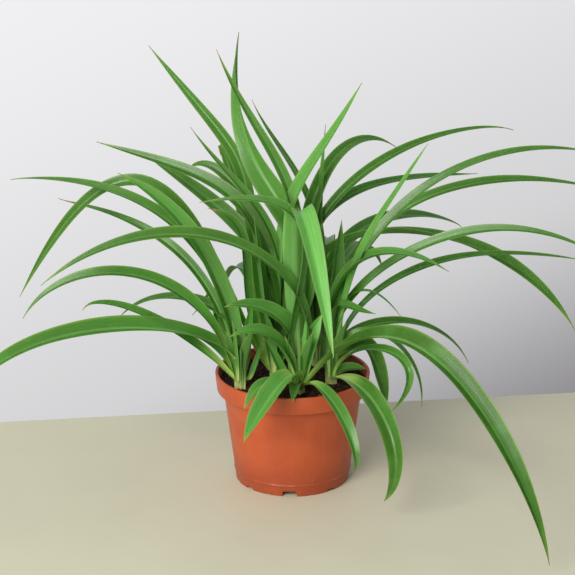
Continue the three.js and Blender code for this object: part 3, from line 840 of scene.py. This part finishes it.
def leaf_tree():
    """Grows a crown's leaves from its rows: a flat closed tube for each, laid along its midrib."""
    tree, entry, leave = new_geometry_tree("strap_leaves")
    for name, start in LEAF_SHAPE.items():
        add_input(tree, name, "NodeSocketInt" if name in ("Steps", "Corners") else "NodeSocketFloat", start)
    add_input(tree, "Material", "NodeSocketMaterial")
    size = entry.outputs
    curves = grown_midribs(tree, size["Geometry"])
    tubes = flat_tube(tree, size["Geometry"], size["Steps"], size["Corners"])

    # The midrib's place at each point, and the blade's wide and upper directions there
    along, across, sheath = read(tree, "along"), read(tree, "across"), read(tree, "sheath")
    inputs = {"Curves": curves, "Factor": along, "Curve Index": read(tree, "number")}
    sample = put(tree, "GeometryNodeSampleCurve", inputs, mode="FACTOR")
    middle, tangent = sample.outputs["Position"], sample.outputs["Tangent"]
    side = read(tree, "side", "FLOAT_VECTOR")
    face = aim(tree, "CROSS_PRODUCT", tangent, side)
    twist = times(tree, read(tree, "twist"), times(tree, along, along))
    turn = calc(tree, "ADD", read(tree, "turn"), twist)
    cosine, sine = calc(tree, "COSINE", turn), calc(tree, "SINE", turn)
    wide = aim(tree, "SUBTRACT", aim(tree, "SCALE", side, cosine), aim(tree, "SCALE", face, sine))
    upper = aim(tree, "ADD", aim(tree, "SCALE", face, cosine), aim(tree, "SCALE", side, sine))

    # The width swells from the base to the widest place, then narrows to the tip
    to_widest = calc(tree, "MINIMUM", calc(tree, "DIVIDE", along, size["Widest At"]), 1.0)
    swell = calc(tree, "SINE", times(tree, to_widest, math.pi / 2))
    start = calc(tree, "MAXIMUM", size["Base Share"], times(tree, sheath, SHEATH_BASE_SHARE))
    swell = calc(tree, "ADD", start, times(tree, calc(tree, "SUBTRACT", 1.0, start), swell))
    past_widest = calc(tree, "SUBTRACT", along, size["Widest At"])
    to_tip = calc(tree, "DIVIDE", past_widest, calc(tree, "SUBTRACT", 1.0, size["Widest At"]))
    narrowing = calc(tree, "POWER", calc(tree, "MAXIMUM", to_tip, 0.0), size["Taper"])
    share = times(tree, swell, calc(tree, "SUBTRACT", 1.0, narrowing))
    width = calc(tree, "MAXIMUM", size["Tip Width"], times(tree, read(tree, "width"), share))
    half = times(tree, width, 0.5)

    # The section is a keel with a rounded groove over the midrib, set in the middle of the solid blade
    flattening = calc(tree, "SUBTRACT", size["Keel On Blade"], size["Keel At Base"])
    depth = calc(tree, "ADD", size["Keel At Base"], times(tree, to_widest, flattening))
    depth = calc(tree, "ADD", depth, times(tree, sheath, SHEATH_CLASP))
    keel = times(tree, half, depth)
    square = times(tree, across, across)
    groove = calc(tree, "SQRT", calc(tree, "ADD", square, GROOVE_ROUNDING))
    rise = calc(tree, "SUBTRACT", times(tree, groove, 2.0), GROOVE_DROP)
    height = times(tree, keel, rise)
    height = calc(tree, "SUBTRACT", height, LEAF_SOLID_THICKNESS / 2)

    # The edges ripple slightly
    run = times(tree, along, read(tree, "length"))
    lag = calc(tree, "ADD", read(tree, "phase"), times(tree, across, RIPPLE_LAG))
    wave = calc(tree, "ADD", times(tree, run, RIPPLE_PACE), lag)
    ripple = times(tree, square, size["Ripple"])
    ripple = times(tree, calc(tree, "SINE", wave), ripple)
    ripple = times(tree, ripple, share)
    height = calc(tree, "ADD", height, ripple)

    # The blade is thickest over its midrib and closes at its rim, which is shaded as an edge
    skin = calc(tree, "SQRT", calc(tree, "SUBTRACT", 1.0, times(tree, square, square)))
    skin = times(tree, skin, times(tree, size["Thickness"], 0.5))
    way = calc(tree, "SUBTRACT", read(tree, "over"), read(tree, "under"))
    height = calc(tree, "ADD", height, times(tree, skin, way))

    place = aim(tree, "ADD", middle, aim(tree, "SCALE", wide, times(tree, half, across)))
    place = aim(tree, "ADD", place, aim(tree, "SCALE", upper, height))
    blades = put(tree, "GeometryNodeSetPosition", {"Geometry": tubes, "Position": place}).outputs[0]
    blades = put(tree, "GeometryNodeSetShadeSmooth", {"Geometry": blades}).outputs[0]
    rim = calc(tree, "GREATER_THAN", calc(tree, "ABSOLUTE", across), RIM)
    inputs = {"Geometry": blades, "Selection": rim, "Shade Smooth": False}
    blades = put(tree, "GeometryNodeSetShadeSmooth", inputs, domain="EDGE").outputs[0]
    return finish_tree(tree, blades, size["Material"], leave)


def leaf_skin():
    """Living leaf: streaked green by its tone, ribbed, pale at its base and yellow or dry at its tip.
    Its tone, pale base, midrib and underside carry painted light and shade as well as their own colour.
    """
    material, tree, skin = new_material("leaf_skin")
    colours = LEAF_COLOURS

    def held(name):
        return put(tree, "ShaderNodeAttribute", attribute_name=name).outputs["Fac"]

    along, across, under = held("along"), held("across"), held("under")
    tone_and_shade, length, sheath = held("tone_and_shade"), held("length"), held("sheath")
    place = put(tree, "ShaderNodeTexCoord").outputs["Object"]
    run = times(tree, along, length)
    wide = times(tree, across, STREAKS_ACROSS)
    far = times(tree, run, STREAKS_ALONG)
    strand = put(tree, "ShaderNodeCombineXYZ", {0: wide, 1: far, 2: held("phase")}).outputs[0]

    # Three greens by tone, partly the leaf's own green and partly painted light and shade,
    # with lengthwise streaks and soft patches
    green = blend_colours(tree, ease(tree, tone_and_shade, 0.0, 0.5), colours["dark"], colours["middle"])
    green = blend_colours(tree, ease(tree, tone_and_shade, 0.5, 1.0), green, colours["light"])
    streaks = mottle(tree, strand, 1.6, 0.3, 0.7)
    streak_share = times(tree, streaks, ease(tree, run, 5 * MM, 60 * MM, 0.12, 0.35))
    green = blend_colours(tree, streak_share, green, colours["streak"])
    patches = mottle(tree, place, 45.0, 0.4, 0.7)
    green = blend_colours(tree, times(tree, patches, 0.30), green, colours["patch"])

    # Leaves of a middling tone dull towards their ends
    dull = times(tree, ease(tree, tone_and_shade, 0.12, 0.35), ease(tree, tone_and_shade, 0.5, 1.0, 1.0, 0.0))
    dull = times(tree, dull, ease(tree, run, 50 * MM, 170 * MM, 0.0, 0.30))
    green = blend_colours(tree, dull, green, colours["dull end"])

    # Fine ribs, a pale midrib partly painted as a highlight, edges, and a duller underside partly painted
    # as shade
    rib_wave = calc(tree, "SINE", times(tree, across, RIBS_ACROSS))
    ribs = ease(tree, rib_wave, 0.2, 1.0)
    green = blend_colours(tree, times(tree, ribs, 0.05), green, colours["rib"])
    off_middle = calc(tree, "ABSOLUTE", across)
    # The pale midrib is partly the leaf's own colour and partly a painted highlight along it
    midrib = ease(tree, off_middle, 0.02, 0.22, 1.0, 0.0)
    midrib_share = times(tree, midrib, ease(tree, along, 0.25, 0.85, 0.48, 0.12))
    green = blend_colours(tree, midrib_share, green, colours["midrib"])
    edge = ease(tree, off_middle, 0.80, 0.98)
    edge = times(tree, edge, ease(tree, along, 0.2, 0.95, 0.08, 0.30))
    green = blend_colours(tree, edge, green, colours["edge"])
    # The underside is darker and duller, partly its own colour and partly painted shade
    green = blend_colours(tree, times(tree, under, 0.60), green, colours["underside and painted shade"])

    # Pale yellow-green bases, brightened beyond their own colour as painted light, tan feet of the sheaths,
    # and yellowing tips
    pale_reach = calc(tree, "MINIMUM", times(tree, length, PALE_SHARE), PALE_REACH)
    pale_run = calc(tree, "DIVIDE", run, pale_reach)
    pale_run = calc(tree, "ADD", pale_run, times(tree, streaks, 0.2))
    # Painted light: the pale base is made brighter than its own colour
    pale = ease(tree, pale_run, 0.05, 1.0, 1.0, 0.0)
    pale = times(tree, pale, ease(tree, sheath, 0.0, 1.0, 0.92, 0.97))
    green = blend_colours(tree, pale, green, colours["pale base and painted light"])
    foot = times(tree, sheath, ease(tree, run, 2 * MM, 12 * MM, 0.6, 0.0))
    green = blend_colours(tree, foot, green, colours["sheath foot"])
    yellowing = ease(tree, along, 0.90, 1.0, 0.0, 0.45)
    green = blend_colours(tree, yellowing, green, colours["yellow tip"])

    # Dry brown tips with a ragged border
    dry = held("dry")
    from_tip = calc(tree, "SUBTRACT", 1.0, along)
    uneven = times(tree, calc(tree, "SUBTRACT", streaks, 0.5), 0.012)
    ragged = calc(tree, "ADD", from_tip, uneven)
    dried = ease(tree, calc(tree, "SUBTRACT", ragged, dry), -0.006, 0.006, 1.0, 0.0)
    dried = times(tree, dried, calc(tree, "GREATER_THAN", dry, 0.001))
    brown = blend_colours(tree, mottle(tree, place, 500.0), colours["dry"], colours["dry and bleached"])
    colour = blend_colours(tree, dried, green, brown)
    tree.links.new(colour, skin.inputs["Base Color"])

    # A low gloss, duller on the underside and where the leaf is dry
    gloss = ease(tree, streaks, 0, 1, 0.27, 0.38)
    gloss = calc(tree, "ADD", gloss, times(tree, under, 0.14))
    gloss = calc(tree, "ADD", gloss, times(tree, dried, 0.3))
    tree.links.new(gloss, skin.inputs["Roughness"])

    relief = calc(tree, "ADD", times(tree, ribs, 0.12), times(tree, streaks, 0.4))
    relief = calc(tree, "SUBTRACT", relief, times(tree, midrib, 0.5))
    emboss(tree, skin, relief, strength=0.35, depth=0.2 * MM)
    skin.inputs["IOR"].default_value = 1.42
    skin.inputs["Subsurface Weight"].default_value = 0.40
    skin.inputs["Subsurface Radius"].default_value = (1.2 * MM, 2.6 * MM, 0.5 * MM)
    skin.inputs["Subsurface Scale"].default_value = 1.0
    return material


LEAF_TREE = leaf_tree()
LEAF_SKIN = leaf_skin()
for crown in CROWNS:
    rows = crown_rows(crown)
    grow = rows.modifiers.new("grow", "NODES")
    grow.node_group = LEAF_TREE
    set_inputs(grow, {**LEAF_SHAPE, "Material": LEAF_SKIN})
    leaves = baked(rows, "leaves_" + crown["node"].removeprefix("crown_"))
    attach(leaves, "root")
    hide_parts(crown["node"])

# The plant stands on a plain pale table top, whose far edge runs just behind it, in soft light from the
# upper left. The backdrop is the pale world.
TABLE_TURN = math.radians(7.9)
TABLE_BACK = 145 * MM
TABLE_HALF_WIDTH = 1.6
TABLE_FRONT = 2.2
TABLE_THICKNESS = 30 * MM
TABLE_EDGE = 4 * MM
TABLE_COLOURS = ((0.62, 0.605, 0.450, 1), (0.66, 0.64, 0.485, 1))


def make_table():
    """The table top, with soft edges, turned a little so that its far edge slants in the view."""
    shape = bmesh.new()
    made = bmesh.ops.create_cube(shape, size=1)
    for vertex in made["verts"]:
        vertex.co.x *= 2 * TABLE_HALF_WIDTH
        vertex.co.y = TABLE_BACK if vertex.co.y > 0 else -TABLE_FRONT
        vertex.co.z = 0 if vertex.co.z > 0 else -TABLE_THICKNESS
    turn = Matrix.Rotation(TABLE_TURN, 3, "Z")
    bmesh.ops.rotate(shape, verts=shape.verts, cent=(0, 0, 0), matrix=turn)
    bmesh.ops.bevel(shape, geom=shape.edges[:], offset=TABLE_EDGE, segments=3, affect="EDGES")
    table = make_object("table_top", shape)
    material, tree, skin = new_material("pale_table")
    place = put(tree, "ShaderNodeTexCoord").outputs["Object"]
    colour = blend_colours(tree, mottle(tree, place, 6.0, 0.3, 0.7), *TABLE_COLOURS)
    tree.links.new(colour, skin.inputs["Base Color"])
    skin.inputs["Roughness"].default_value = 0.6
    table.data.materials.append(material)
    return table


make_table()

scene = bpy.context.scene
scene.view_settings.view_transform = "Standard"
ROOM_COLOURS = {
    "bright wall": (0.88, 0.88, 0.895, 1),
    "shaded wall": (0.60, 0.60, 0.61, 1),
    "below": (0.25, 0.24, 0.255, 1),
}


def pale_room():
    """The room round the table: near white above and to the left, a soft grey low on the right."""
    world = bpy.data.worlds.new("pale_room")
    world.use_nodes = True
    tree = world.node_tree
    way = put(tree, "ShaderNodeTexCoord").outputs["Object"]
    x, y, z = put(tree, "ShaderNodeSeparateXYZ", {0: way}).outputs
    down = calc(tree, "SUBTRACT", times(tree, x, 0.45), z)
    shade = ease(tree, down, 0.12, 0.42)
    wall = blend_colours(tree, shade, ROOM_COLOURS["bright wall"], ROOM_COLOURS["shaded wall"])
    wall = blend_colours(tree, ease(tree, down, 0.33, 0.44), wall, ROOM_COLOURS["below"])
    # The walls show at full strength, but light the plant more softly, and least from the near side
    seen = put(tree, "ShaderNodeLightPath").outputs["Is Camera Ray"]
    lit = ease(tree, y, -0.6, 0.8, 0.29, 0.70)
    sky = tree.nodes["Background"]
    tree.links.new(wall, sky.inputs["Color"])
    tree.links.new(calc(tree, "MAXIMUM", seen, lit), sky.inputs["Strength"])
    return world


scene.world = pale_room()

WINDOW_PLACE = Vector((-0.95, -1.75, 1.30))
PLANT_MIDDLE = Vector((0, 0, 0.15))
window_light = bpy.data.lights.new("window", "AREA")
window_light.size = 1.3
window_light.energy = 56
window_light.color = (1.0, 0.985, 0.96)
window = add_object("window", window_light)
window.location = WINDOW_PLACE
window.rotation_euler = (PLANT_MIDDLE - WINDOW_PLACE).to_track_quat("-Z", "Y").to_euler()

# The camera stands and looks as the photograph's did
CAMERA_PLACE = (-3.9 * MM, -1683.6 * MM, 726.5 * MM)
CAMERA_PITCH = math.radians(18.75)
PHOTO_WIDTH = 575
FOCAL_PIXELS = 2322
camera_data = bpy.data.cameras.new("camera")
camera_data.sensor_width = 36
camera_data.lens = FOCAL_PIXELS * camera_data.sensor_width / PHOTO_WIDTH
camera_data.clip_start = 0.05
camera = add_object("camera", camera_data)
camera.location = CAMERA_PLACE
camera.rotation_euler = (math.pi / 2 - CAMERA_PITCH, 0, 0)
scene.camera = camera
